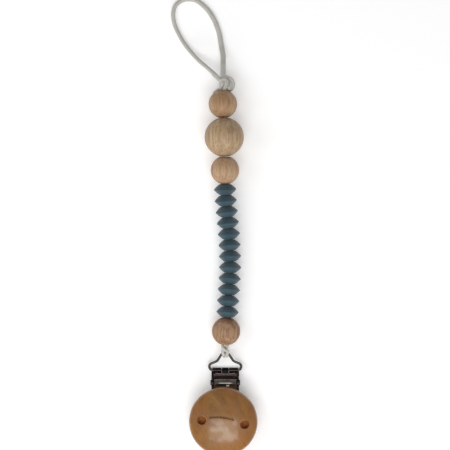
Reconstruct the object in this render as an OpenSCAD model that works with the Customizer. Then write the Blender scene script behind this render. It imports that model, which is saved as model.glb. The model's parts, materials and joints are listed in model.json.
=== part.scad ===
// Beaded soother clip: a wooden-faced spring clip, a wire bail, a doubled cord strung
// with wooden and silicone beads, a knot and a free cord loop. It lies on its back on
// the XY plane: +Y runs from the clip to the loop, +Z is up. All sizes are millimetres.

/* [Wooden face] */
// Diameter of the round wooden face
face_d = 35; // [34:0.5:35.5]
// Thickness of the face at its middle
face_t = 9; // [8:0.5:10]
// Diameter of the two drilled holes
hole_d = 4.6; // [4:0.2:5.2]
// Distance of each drilled hole from the middle of the face
hole_out = 11; // [10.5:0.5:12]
// Wood left under each drilled hole
hole_floor = 2; // [1.5:0.5:3]

/* [Metal clip] */
// Width over the side ears
clip_w = 14.2; // [13.8:0.1:14.6]
// Thickness of the back plate and its ears
plate_t = 0.8; // [0.7:0.05:0.9]
// Thickness of the spring jaw
jaw_t = 0.6; // [0.5:0.05:0.65]
// Thickness of the lever plate
lever_t = 0.7; // [0.6:0.05:0.8]
// Diameter of the lever pin
pin_d = 2; // [1.8:0.1:2.1]
// Diameter of the bail wire
wire_d = 1.3; // [1.1:0.05:1.3]

/* [Beads] */
// Diameter of the small wooden beads
small_d = 14.6; // [14:0.2:15]
// Diameter of the large wooden bead
large_d = 20.1; // [19.6:0.1:20.6]
// Diameter of the silicone lentil beads
lentil_d = 11.5; // [11:0.25:12]
// Distance from one lentil bead to the next
lentil_pitch = 5.72; // [5.6:0.02:5.8]
// Number of silicone lentil beads
lentil_count = 12; // [12:1:12]
// Bore through every bead
bore_d = 4.2; // [4.1:0.05:4.3]
// Gap between neighbouring beads on the cord
bead_gap = 0.3; // [0.25:0.05:0.4]

/* [Cord] */
// Diameter of the cord
cord_d = 2; // [1.8:0.1:2]
// Diameter of the cord where it lies free as the loop
loop_d = 2.2; // [2:0.1:2.3]

/* [Hidden] */
LENTILS = [for (i = [1:lentil_count]) str("lentil_", i)];
LENTIL_CORDS = [for (i = [1:lentil_count]) str("cord_lentil_", i)];
$fn = 64;
eps = 0.01;

// ---- clip layout: y counts from the lowest point of the face, x from its middle ----
clip_x = 1;
face_y = face_d / 2;
rim_h = 3.6;                    // height of the widest part of the face above its back
rim_r = 2.6;                    // rounding of the face's edge
face_turn = -5.5;               // the face sits slightly turned on its screws
pin_y = 37;
pin_z = 5.2;
roll_r = 1.9;                   // outside of the lever's roll round its pin
lever_top = pin_z + roll_r;
lever_bottom = lever_top - lever_t;
lever_w = 12;
lever_end_y = 8;
screw_y = [13, 25];
screw_d = 2;
screw_head_d = 3.6;
screw_head_t = 0.8;
screw_deep = 5;
ear_start_y = 31;               // the back plate widens here to carry the ears
ear_end_y = 42.4;
ear_cut_y = 41.6;               // upper front corner of an ear, clear of the bail
ear_cut_z = 2.2;
hinge_y = 43.1;                 // axis of the bail's ends and of the jaw's tongue
hinge_r = 1.25;
hinge_z = hinge_r;
run_gap = 0.05;                 // radial clearance of the turning fits
tongue_gap = 0.25;              // beside and round the jaw's tongue
ear_in = clip_w / 2 - plate_t;
ear_r = 2.7;
jaw_top = 2.57;
jaw_start_y = 41.6;
jaw_side_gap = 0.3;             // between the jaw and each ear
jaw_w = 2 * (ear_in - jaw_side_gap);
tip_y = 7;
tongue_w = 3.4;
pad_t = 0.8;
pad_len = 7;
lobe_r = 0.9;                   // cam lobe that holds the jaw shut
lobe_out = 1.65;

// ---- bail: half of the wire as [length, 0] straights and [radius, turn] bends ----
bail_tilt = 24;
bail_half = [
    [6.45, 0], [1.4, 70], [0.6, 0], [1.9, 85], [2.3, 0], [3, -35], [3.4, 0], [1.2, 60]];
function step_move(s, h) = s[1] == 0
    ? s[0] * [cos(h), sin(h)]
    : let (r = sign(s[1]) * s[0], k = h + s[1]) r * [sin(k) - sin(h), cos(h) - cos(k)];
function trace(steps, i = 0, at = [0, 0], h = 0) = i == len(steps)
    ? at
    : trace(steps, i + 1, at + step_move(steps[i], h), h + steps[i][1]);
pin_in = 0.15;                  // the wire's two ends nearly meet inside the jaw's tongue
bail_fine = [for (s = bail_half, k = [1:s[1] == 0 ? 1 : ceil(abs(s[1]) / 15)])
    s[1] == 0 ? s : [s[0], s[1] / ceil(abs(s[1]) / 15)]];
bail_side = [for (i = [1:len(bail_fine)]) trace([for (k = [0:i - 1]) bail_fine[k]])];
tube_in = 0.4;                  // the bent tube starts this far inside the straight end
bail_end = [bail_fine[0][0] - tube_in, 0];
bail_points = [for (p = concat([bail_end], bail_side)) [p[0] + pin_in, p[1], 0]];
bail_route = concat(bail_points,
    [for (i = [len(bail_points) - 1:-1:0]) [-bail_points[i][0], bail_points[i][1], 0]]);
bail_apex = trace(bail_half) + [pin_in, 0];
apex_y = hinge_y + bail_apex[1] * cos(bail_tilt);
apex_z = hinge_z + bail_apex[1] * sin(bail_tilt);

// ---- the strand, from the clip upwards: one row per bead ----
// lean is each bead's turn to the right and lift its rise, both in degrees
lean = [5, 3, 3, 4, 4, 1, -2, -3, -4, -6, -6, -4, -2, 0, -2, -3];
lift = [2, -1, -3, -4, -2, 0, 0, 2, 4, 5, 5, 5, 5, 4, 0, -4];
wood_face_r = 2.5;              // flat round each wooden bead's bore
lentil_face_r = 2.95;
lentil_rim_r = 1.05;
small_len = 2 * sqrt(pow(small_d / 2, 2) - pow(wood_face_r, 2));
large_len = 2 * sqrt(pow(large_d / 2, 2) - pow(wood_face_r, 2));
lentil_len = lentil_pitch - bead_gap;
last = lentil_count + 3;
bead_len = [for (i = [0:last])
    i == last - 1 ? large_len : i == 0 || i > lentil_count ? small_len : lentil_len];
function heading(i) =
    [sin(lean[i]) * cos(lift[i]), cos(lean[i]) * cos(lift[i]), sin(lift[i])];
// pivot(i) is the middle of the gap below bead i; the lowest one is the hitch's end
strand_start = [0.8, 56.5, 7.06];
function pivot(i) = i == 0
    ? strand_start
    : pivot(i - 1) + (bead_len[i - 1] + bead_gap) * heading(i - 1);
function centre(i) = pivot(i) + (bead_len[i] + bead_gap) / 2 * heading(i);
strand_end = pivot(last + 1);

// ---- knot above the last bead ----
knot_at = strand_end + [1.8, 4, -0.4];
knot_r = 2.5;
knot_cord_r = 1.15;
knot_tilt = [32, -40, 8];
knot_top = knot_at[1] + knot_r * sin(abs(knot_tilt[1])) + knot_cord_r;
mid_y = knot_top / 2;           // the part's origin is under the middle of its length

// ---- route of the free loop, in the part's own frame ----
loop_route = [
    [-0.2, 96.5, 8.6], [-0.1, 100, 7.6], [-0.1, 104, 5.8], [-0.1, 108, 3.6],
    [-0.7, 111.8, 1.9], [-1.3, 115.5, 1.25], [-2, 119.5, 1.15], [-3.5, 124, 1.15],
    [-5.2, 127.7, 1.15], [-7.6, 131.3, 1.15], [-10.8, 134.6, 1.15], [-14.6, 137, 1.15],
    [-18.8, 137.4, 1.15], [-22.4, 136.2, 1.15], [-24.9, 133.6, 1.15], [-25.8, 130, 1.15],
    [-25.6, 126.5, 1.15], [-24.4, 122.5, 1.15], [-22.2, 118, 1.2], [-19.6, 113.8, 1.6],
    [-16.4, 109.8, 2.6], [-12.8, 105.8, 4.4], [-9, 102.4, 6.2], [-5.6, 99.4, 7.6],
    [-2.6, 96.4, 8.6]];

function unit(v) = v / norm(v);
// points on a circle, for the lathe outlines
function arc(c, r, from, to, n) =
    [for (i = [0:n]) let (a = from + (to - from) * i / n) c + r * [cos(a), sin(a)]];

// ---------------------------------------------------------------- helpers
module clip_frame() {
    translate([0, -mid_y, 0]) children();
}
module at_bead(i) {
    clip_frame() translate(centre(i)) rotate([lift[i], 0, -lean[i]]) rotate([-90, 0, 0])
        children();
}
// rod along X about the point [y, z]
module rod_x(r, from, to, y, z) {
    translate([from, y, z]) rotate([0, 90, 0]) cylinder(r = r, h = to - from);
}
// flat sheet outline in the YZ plane, given a width in X
module sheet_x(width) {
    translate([clip_x - width / 2, 0, 0]) rotate([90, 0, 90]) linear_extrude(width) children();
}
module ring(r, wire_r) {
    rotate_extrude() translate([r, 0]) circle(r = wire_r);
}

// ---------------------------------------------------------------- wooden face
module face_outline() {
    r = face_d / 2;
    dome = face_t - rim_h;
    big = (pow(r - 1, 2) + dome * dome) / (2 * dome);
    meet = asin((r - rim_r / 2) / big);
    polygon(concat(
        [[0, 0], [r - rim_r, 0]],
        arc([r - rim_r, rim_r], rim_r, -90, 0, 6),
        arc([r - rim_r, rim_r], rim_r, 12, 36, 2),
        arc([0, face_t - big], big, 90 - meet, 90, 16)));
}
module wooden_face() {
    color("peru") clip_frame() translate([0, face_y, lever_top]) rotate(face_turn)
        difference() {
            rotate_extrude($fn = 96) face_outline();
            for (a = [0, 180]) rotate(a)
                translate([hole_out, 0, hole_floor]) cylinder(d = hole_d, h = face_t);
            for (y = screw_y) rotate(-face_turn) translate([clip_x, y - face_y, -eps])
                cylinder(d = screw_d, h = screw_deep + 2 * eps);
        }
}
module face_screws() {
    color("dimgray") clip_frame() for (y = screw_y) translate([clip_x, y, 0]) {
        translate([0, 0, lever_bottom - screw_head_t])
            cylinder(d = screw_head_d, h = screw_head_t);
        translate([0, 0, lever_bottom - eps])
            cylinder(d = screw_d, h = lever_t + screw_deep);
    }
}

// ---------------------------------------------------------------- metal clip
module lever_plate() {
    color("#3a2e2e") clip_frame() difference() {
        union() {
            translate([clip_x - lever_w / 2, lever_end_y + lever_w / 2, lever_bottom])
                cube([lever_w, pin_y - lever_end_y - lever_w / 2, lever_t]);
            translate([clip_x, lever_end_y + lever_w / 2, lever_bottom])
                cylinder(d = lever_w, h = lever_t);
            sheet_x(lever_w) union() {
                translate([pin_y, pin_z]) circle(r = roll_r);
                translate([pin_y, pin_z - lobe_out]) circle(r = lobe_r);
                translate([pin_y - lobe_r, pin_z - lobe_out]) square([2 * lobe_r, lobe_out]);
            }
        }
        rod_x(pin_d / 2 + run_gap, clip_x - lever_w, clip_x + lever_w, pin_y, pin_z);
        for (y = screw_y) translate([clip_x, y, lever_bottom - eps])
            cylinder(d = screw_d, h = lever_t + 2 * eps);
    }
}
module lever_pin() {
    head_t = 0.5;
    color("dimgray") clip_frame() {
        rod_x(pin_d / 2, clip_x - clip_w / 2, clip_x + clip_w / 2, pin_y, pin_z);
        for (side = [-1, 1])
            rod_x(pin_d / 2 + 0.4, clip_x + side * (clip_w / 2 + head_t / 2) - head_t / 2,
                clip_x + side * (clip_w / 2 + head_t / 2) + head_t / 2, pin_y, pin_z);
    }
}
module ear_outline() {
    union() {
        translate([pin_y, pin_z]) circle(r = ear_r);
        polygon([[ear_start_y, 0], [ear_end_y, 0], [ear_cut_y, ear_cut_z],
            [pin_y, pin_z] + ear_r * [cos(20), -sin(20)],
            [pin_y, pin_z] - ear_r * [cos(20), sin(20)], [ear_start_y + 0.6, 2]]);
    }
}
module back_plate() {
    knuckle_in = tongue_w / 2 + tongue_gap;
    knuckle_out = bail_half[0][0] + pin_in;
    slot_r = hinge_r + tongue_gap;
    color("#2c2424") clip_frame() difference() {
        union() {
            translate([clip_x - jaw_w / 2, tip_y, 0]) cube([jaw_w, hinge_y - tip_y, plate_t]);
            translate([clip_x - clip_w / 2, ear_start_y, 0])
                cube([clip_w, ear_end_y - ear_start_y, plate_t]);
            for (side = [-1, 1]) translate([side * (clip_w / 2 - plate_t / 2), 0, 0])
                sheet_x(plate_t) ear_outline();
            rod_x(hinge_r, clip_x - knuckle_out, clip_x + knuckle_out, hinge_y, hinge_z);
        }
        rod_x(wire_d / 2 + run_gap, clip_x - clip_w, clip_x + clip_w, hinge_y, hinge_z);
        rod_x(pin_d / 2, clip_x - clip_w, clip_x + clip_w, pin_y, pin_z);
        // room between the two knuckles for the jaw's tongue
        translate([clip_x - knuckle_in, hinge_y - slot_r, -eps])
            cube([2 * knuckle_in, 2 * slot_r, 2 * slot_r]);
    }
}
module jaw_pad() {
    groove_w = 0.6;
    groove_deep = 0.25;
    groove_pitch = 1.5;
    color("white") clip_frame() translate([clip_x - jaw_w / 2, tip_y, plate_t])
        difference() {
            cube([jaw_w, pad_len, pad_t]);
            for (i = [0:3])
                translate([-eps, 2 * groove_w + groove_pitch * i, pad_t - groove_deep])
                    cube([jaw_w + 2 * eps, groove_w, groove_deep + eps]);
        }
}
module spring_jaw() {
    tooth = 1.2;
    tooth_h = 0.3;
    lip_z = plate_t + pad_t + 0.1;
    color("#42363a") clip_frame() difference() {
        union() {
            translate([clip_x - jaw_w / 2, tip_y, jaw_top - jaw_t])
                cube([jaw_w, jaw_start_y - tip_y, jaw_t]);
            translate([clip_x - tongue_w / 2, jaw_start_y - 1, jaw_top - jaw_t])
                cube([tongue_w, hinge_y - jaw_start_y + 1, hinge_z + hinge_r - jaw_top + jaw_t]);
            rod_x(hinge_r, clip_x - tongue_w / 2, clip_x + tongue_w / 2, hinge_y, hinge_z);
            translate([clip_x - jaw_w / 2, tip_y, lip_z])
                cube([jaw_w, jaw_t, jaw_top - lip_z]);
        }
        rod_x(wire_d / 2 + run_gap, clip_x - tongue_w, clip_x + tongue_w, hinge_y, hinge_z);
        for (i = [1:2:7]) translate([clip_x - jaw_w / 2 + i * tooth, tip_y - eps, lip_z - eps])
            cube([tooth, jaw_t + 2 * eps, tooth_h]);
    }
}

// ---------------------------------------------------------------- bail
module bail() {
    color("#4a423c") clip_frame() translate([clip_x, hinge_y, hinge_z])
        rotate([bail_tilt, 0, 0]) {
            for (side = [0, 1]) mirror([side, 0, 0])
                rod_x(wire_d / 2, pin_in, pin_in + bail_half[0][0], 0, 0);
            tube(bail_route, wire_d * 0.99, 12);
        }
}
module lower_hitch() {
    wrap_cord_r = 0.8;              // the cord is pulled thin where it grips the wire
    wrap_r = wire_d / 2 + wrap_cord_r;
    wrap_out = 0.95;
    run_d = cord_d * 0.85;
    run_out = 1.05;
    run_start = wrap_r - 0.3;
    bar_d = 2.2;
    bar_len = 4.4;
    end_room = 0.5;                 // the first bead tilts against the runs' ends
    start = [clip_x, apex_y, apex_z];
    way = strand_start - start;
    slope = atan2(way[2], way[1]);
    reach = norm(way) - end_room;
    color("ivory") clip_frame() translate(start) rotate([slope, 0, 0]) {
        for (side = [-1, 1]) {
            translate([side * wrap_out, 0, 0]) rotate([0, 90, 0]) ring(wrap_r, wrap_cord_r);
            translate([side * run_out, run_start, 0]) rotate([-90, 0, 0])
                cylinder(d = run_d, h = reach - run_start);
        }
        translate([-bar_len / 2, wrap_r + wrap_cord_r * 2, 0.7]) rotate([0, 90, 0])
            cylinder(d = bar_d, h = bar_len);
    }
}

// ---------------------------------------------------------------- beads
module wood_bead(i, d) {
    mouth = 0.25;
    len = bead_len[i];
    at_bead(i) difference() {
        intersection() {
            sphere(d = d);
            translate([0, 0, -len / 2]) cylinder(d = d + 1, h = len);
        }
        translate([0, 0, -len]) cylinder(d = bore_d, h = 2 * len);
        for (side = [0, 1]) mirror([0, 0, side]) translate([0, 0, len / 2 - mouth])
            cylinder(d1 = bore_d, d2 = bore_d + 2 * mouth, h = mouth + eps);
    }
}
module lentil_outline() {
    h = lentil_len / 2;
    rim = [lentil_d / 2 - lentil_rim_r, 0];
    corner = [lentil_face_r, h];
    away = rim - corner;
    flank = 180 + atan2(away[1], away[0]) - acos(lentil_rim_r / norm(away));
    polygon(concat([[bore_d / 2, -h], [lentil_face_r, -h]],
        arc(rim, lentil_rim_r, -flank, flank, 10),
        [corner, [bore_d / 2, h]]));
}
module lentil(i) {
    color("slategray") at_bead(i) rotate_extrude($fn = 72) lentil_outline();
}
// the two runs of cord that fill a bead's bore
module cord_runs(i) {
    end_gap = 0.1;
    apart = 0.03;
    len = bead_len[i] + bead_gap - 2 * end_gap;
    color("ivory") at_bead(i) for (side = [-1, 1])
        translate([side * (cord_d / 2 + apart), 0, -len / 2]) cylinder(d = cord_d, h = len);
}

// ---------------------------------------------------------------- knot and loop
module top_knot() {
    turn_step = 0.9;                // how far the knot's turns lie apart
    core_r = 2;
    neck_d = 3.6;
    neck_len = 3;
    neck_gap = 0.1;
    color("ivory") clip_frame() {
        translate(knot_at) {
            for (i = [0:2]) rotate([-90 + (i - 1) * 6, 0, knot_tilt[i]])
                translate([0, 0, (1 - i) * turn_step]) ring(knot_r, knot_cord_r);
            sphere(r = core_r);
        }
        translate(strand_end) rotate([-90, 0, -25]) translate([0, 0, neck_gap])
            cylinder(d = neck_d, h = neck_len);
    }
}
module knot_tail() {
    color("ivory") clip_frame() translate(strand_end + [-1, 1.6, 0.6])
        rotate([0, -90, 18]) cylinder(d = cord_d * 0.9, h = 5.4);
}
// closed tube of flat-sided rings along a route
module tube(route, d, sides) {
    n = len(route);
    dirs = [for (i = [0:n - 1]) unit(route[min(i + 1, n - 1)] - route[max(i - 1, 0)])];
    points = [for (i = [0:n - 1]) let (across = unit(cross([0, 0, 1], dirs[i])),
        up = cross(dirs[i], across)) for (k = [0:sides - 1]) let (a = 360 * (k + 0.5) / sides)
            route[i] + d / 2 * (cos(a) * across + sin(a) * up)];
    walls = [for (i = [0:n - 2]) for (k = [0:sides - 1]) let (m = (k + 1) % sides)
        [i * sides + k, (i + 1) * sides + k, (i + 1) * sides + m, i * sides + m]];
    ends = [[for (k = [0:sides - 1]) k], [for (k = [sides - 1:-1:0]) (n - 1) * sides + k]];
    polyhedron(points, concat(walls, ends), convexity = 6);
}
module cord_loop() {
    color("ivory") tube(loop_route, loop_d, 8);
}

// ---------------------------------------------------------------- what is drawn
wooden_face();
face_screws();
lever_plate();
lever_pin();
back_plate();
jaw_pad();
spring_jaw();
bail();
lower_hitch();
color("tan") wood_bead(0, small_d);  // bead_bottom
cord_runs(0);  // cord_bead_bottom
for (i = [1:lentil_count]) {
    lentil(i);
    cord_runs(i);
}
color("tan") wood_bead(last - 2, small_d);  // bead_upper
cord_runs(last - 2);  // cord_bead_upper
color("burlywood") wood_bead(last - 1, large_d);  // bead_large
cord_runs(last - 1);  // cord_bead_large
color("tan") wood_bead(last, small_d);  // bead_top
cord_runs(last);  // cord_bead_top
top_knot();
knot_tail();
cord_loop();
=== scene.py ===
# %% [markdown]
# # A beaded soother clip
#
# The object is a spring clip with a wooden face, a wire bail, a doubled satin cord strung
# with wooden and silicone beads, a knot and a free cord loop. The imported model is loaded
# first. It fixes where every piece is, so each cell below only shapes and paints.

# %% Load the frame
import bmesh
import bpy
import json
import math
from mathutils import Matrix, Vector


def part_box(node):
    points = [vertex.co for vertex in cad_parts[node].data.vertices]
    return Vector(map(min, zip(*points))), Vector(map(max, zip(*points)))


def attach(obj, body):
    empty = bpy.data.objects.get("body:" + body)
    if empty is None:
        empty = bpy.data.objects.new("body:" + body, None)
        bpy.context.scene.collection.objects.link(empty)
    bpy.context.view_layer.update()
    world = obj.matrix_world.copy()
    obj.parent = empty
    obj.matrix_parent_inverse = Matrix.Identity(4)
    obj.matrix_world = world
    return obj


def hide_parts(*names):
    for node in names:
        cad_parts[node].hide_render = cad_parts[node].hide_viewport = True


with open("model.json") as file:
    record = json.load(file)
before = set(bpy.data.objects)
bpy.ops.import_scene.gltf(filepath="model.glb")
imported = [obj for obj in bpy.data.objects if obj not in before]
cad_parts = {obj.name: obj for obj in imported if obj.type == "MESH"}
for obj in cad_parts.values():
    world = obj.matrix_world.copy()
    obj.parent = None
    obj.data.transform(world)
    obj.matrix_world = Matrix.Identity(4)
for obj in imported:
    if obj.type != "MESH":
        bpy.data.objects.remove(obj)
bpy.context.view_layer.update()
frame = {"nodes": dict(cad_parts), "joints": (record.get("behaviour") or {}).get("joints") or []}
MM = 0.001
joints = {joint["name"]: joint for joint in frame["joints"]}
print("pieces in the frame:", len(frame["nodes"]), "joints:", len(joints))


# %% [markdown]
# A reader finds three kinds of place in the frame: a joint's pivot, the middle of a node's
# box, and the top of a node's box. The strap is a chain, so the direction of each bead is
# the line from its own pivot to the next one.

# %% Places taken from the frame
def pivot(name):
    return Vector(joints[name]["pos_m"])


def middle(node):
    low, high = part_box(node)
    return (low + high) / 2


LENTILS = [f"lentil_{i}" for i in range(1, 13)]
STRAND = ["bottom", *LENTILS, "upper", "large", "top"]
WOODEN = ["bottom", "upper", "large", "top"]


def heading(name):
    """The direction of a bead's bore, towards the loop."""
    if name in WOODEN:
        return Vector(joints[f"spin_bead_{name}"]["axis"])
    after = STRAND[STRAND.index(name) + 1]
    return (pivot(f"bend_{after}") - pivot(f"bend_{name}")).normalized()


def bead_middle(name):
    return middle(f"bead_{name}" if name in WOODEN else name)


def standing(at, axis, turn=0.0):
    """A matrix that puts local Z along axis, at a point."""
    swing = axis.to_track_quat("Z", "X").to_matrix().to_4x4()
    return Matrix.Translation(at) @ swing @ Matrix.Rotation(turn, 4, "Z")


def settle(piece, matrix):
    """Moves the mesh itself, so that the object's own box stays square to the frame."""
    piece.data.transform(matrix)
    return piece


print("strand:", len(STRAND), "beads")

# %% [markdown]
# The camera looks straight down on the strap from high up with a long lens, which keeps
# the beads round. The upper end of the cord loop just leaves the picture.

# %% Camera
VIEW_WIDTH = 230.6 * MM
CAMERA_HEIGHT = 0.9
FACE_CENTRE = middle("wooden_face")
LOOK_AT = Vector((0.87 * MM, FACE_CENTRE.y + 100.3 * MM, 6 * MM))

camera_data = bpy.data.cameras.new("camera")
camera_data.sensor_width = 36
camera_data.lens = 36 * (CAMERA_HEIGHT - LOOK_AT.z) / VIEW_WIDTH
camera = bpy.data.objects.new("camera", camera_data)
camera.location = (LOOK_AT.x, LOOK_AT.y, CAMERA_HEIGHT)
bpy.context.scene.collection.objects.link(camera)
bpy.context.scene.camera = camera
print("lens:", round(camera_data.lens, 1), "mm")

# %% [markdown]
# Everything made of cord or wire is a tube along a smooth line. The line is a few given
# points, rounded with a Catmull-Rom spline, which passes through each of them.
# A ring of points then travels along it without twisting. Each tube carries a UV map, once
# round and in metres along, so that a braid can follow the cord.


# %% Lines and tubes
def rounded(points, steps=6):
    """A finer line through the same points."""
    points = [Vector(p) for p in points]
    last = len(points) - 1

    def at(i):
        return points[max(0, min(last, i))]

    line = []
    for i in range(last):
        a, b, c, d = at(i - 1), at(i), at(i + 1), at(i + 2)
        for k in range(steps):
            t = k / steps
            line.append(0.5 * (2 * b + (c - a) * t + (2 * a - 5 * b + 4 * c - d) * t**2
                               + (3 * b - a - 3 * c + d) * t**3))
    return [*line, points[-1]]


def line_length(line):
    return sum((b - a).length for a, b in zip(line, line[1:]))


def new_piece(name, mesh, smooth_angle=50):
    """A piece from a mesh, shaded smooth apart from its real edges."""
    piece = bpy.data.objects.new(name, mesh)
    bpy.context.scene.collection.objects.link(piece)
    mesh.shade_smooth()
    mesh.set_sharp_from_angle(angle=math.radians(smooth_angle))
    return piece


ROUND_END = 0.55
FLAT_END = 0.02


def tube(name, line, radius, sides=14, shape=None, cap=ROUND_END):
    """A tube along a line. shape(share) gives its width and height there, times radius.
    cap says how far each end swells, also times radius."""
    mesh = bpy.data.meshes.new(name)
    build = bmesh.new()
    uv = build.loops.layers.uv.new("UVMap")
    total, run, side = line_length(line), 0.0, Vector((0, 0, 1))
    rings, runs = [], []
    for i, point in enumerate(line):
        ahead = (line[min(i + 1, len(line) - 1)] - line[max(i - 1, 0)]).normalized()
        side = (side - ahead * side.dot(ahead)).normalized()
        across = ahead.cross(side)
        run += (point - line[i - 1]).length if i else 0
        wide, high = shape(run / total) if shape else (1, 1)
        ring = []
        for k in range(sides):
            angle = math.tau * k / sides
            ring.append(build.verts.new(point + radius * (
                across * math.cos(angle) * wide + side * math.sin(angle) * high)))
        rings.append(ring)
        runs.append(run)
    for i in range(len(rings) - 1):
        for k in range(sides):
            m = (k + 1) % sides
            face = build.faces.new((rings[i][k], rings[i + 1][k], rings[i + 1][m], rings[i][m]))
            corners = ((k, i), (k, i + 1), (k + 1, i + 1), (k + 1, i))
            for loop, (turn, step) in zip(face.loops, corners):
                loop[uv].uv = (turn / sides, runs[step])
    for ring, outward in ((rings[0], -1), (rings[-1], 1)):
        end = 0 if outward < 0 else len(line) - 1
        beside = 1 if outward < 0 else len(line) - 2
        out = (line[end] - line[beside]).normalized()
        tip = build.verts.new(line[end] + out * radius * cap)
        for k in range(sides):
            pair = (ring[k], ring[(k + 1) % sides])
            face = build.faces.new((*pair, tip) if outward > 0 else (*reversed(pair), tip))
            for loop in face.loops:
                loop[uv].uv = (0.5, runs[end])
    bmesh.ops.recalc_face_normals(build, faces=build.faces)
    build.to_mesh(mesh)
    build.free()
    return new_piece(name, mesh, 80)


# %% [markdown]
# The free loop is the first piece made. It is one limp cord that leaves the knot, drops to
# the surface, turns round and comes back into the knot. Satin cord flattens where it lies,
# so its section is a little wider than it is high on the right run, and it rolls on edge
# on the left one.

# %% The cord loop
CORD_D = 2.2 * MM
LOOP_ROUTE = [
    (-0.2, 96.5, 8.6), (-0.1, 100, 7.6), (-0.1, 104, 5.8), (-0.1, 108, 3.6),
    (-0.7, 111.8, 1.9), (-1.3, 115.5, 1.25), (-2, 119.5, 1.15), (-3.5, 124, 1.15),
    (-5.2, 127.7, 1.15), (-7.6, 131.3, 1.15), (-10.8, 134.6, 1.15), (-14.6, 137, 1.15),
    (-18.8, 137.4, 1.15), (-22.4, 136.2, 1.15), (-24.9, 133.6, 1.15), (-25.8, 130, 1.15),
    (-25.6, 126.5, 1.15), (-24.4, 122.5, 1.15), (-22.2, 118, 1.2), (-19.6, 113.8, 1.6),
    (-16.4, 109.8, 2.6), (-12.8, 105.8, 4.4), (-9, 102.4, 6.2), (-5.6, 99.4, 7.6),
    (-2.6, 96.4, 8.6)]


def loop_section(share):
    flat = 0.5 + 0.5 * math.cos(math.pi * min(1, share * 1.25))
    return 0.96 + 0.32 * flat, 1.0 - 0.12 * flat


loop_line = rounded([Vector(p) * MM for p in LOOP_ROUTE], steps=8)
cord_loop = tube("cord_loop_satin", loop_line, CORD_D / 2, sides=18, shape=loop_section)
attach(cord_loop, "cord_top")
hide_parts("cord_loop")
round(line_length(loop_line), 4)
print("loop:", round(line_length(loop_line) / MM, 1), "mm of cord")

# %% [markdown]
# ## Paint kit
#
# Shader maths reads best as plain arithmetic. `Value` wraps one socket, and each operator
# on it adds the Math node that does the sum. `Paint` holds one material: `node` adds any
# other node from its type, its settings and what goes into its sockets.


# %% Sockets that can be added and multiplied
class Value:
    def __init__(self, paint, socket):
        self.paint = paint
        self.socket = socket

    def _do(self, operation, *others):
        inputs = dict(enumerate((self, *others)))
        return self.paint.node("ShaderNodeMath", {"operation": operation}, inputs)

    def __add__(self, other):
        return self._do("ADD", other)

    def __sub__(self, other):
        return self._do("SUBTRACT", other)

    def __mul__(self, other):
        return self._do("MULTIPLY", other)

    def __rsub__(self, other):
        return self.paint.number(other)._do("SUBTRACT", self)

    __radd__ = __add__
    __rmul__ = __mul__

    def sine(self):
        return self._do("SINE")

    def over(self, low, high):
        """0 below low, 1 above high, and a smooth step between them."""
        return self.paint.node("ShaderNodeMapRange", {"interpolation_type": "SMOOTHSTEP"},
                               {"Value": self, "From Min": low, "From Max": high})


def set_stops(ramp, stops):
    while len(ramp.elements) < len(stops):
        ramp.elements.new(1)
    for element, (place, colour) in zip(ramp.elements, stops):
        element.position = place
        element.color = (*colour, 1)


def opaque(value):
    """A colour of three numbers with its alpha. Anything else stays as it is."""
    return (*value, 1) if isinstance(value, tuple) else value


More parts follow.
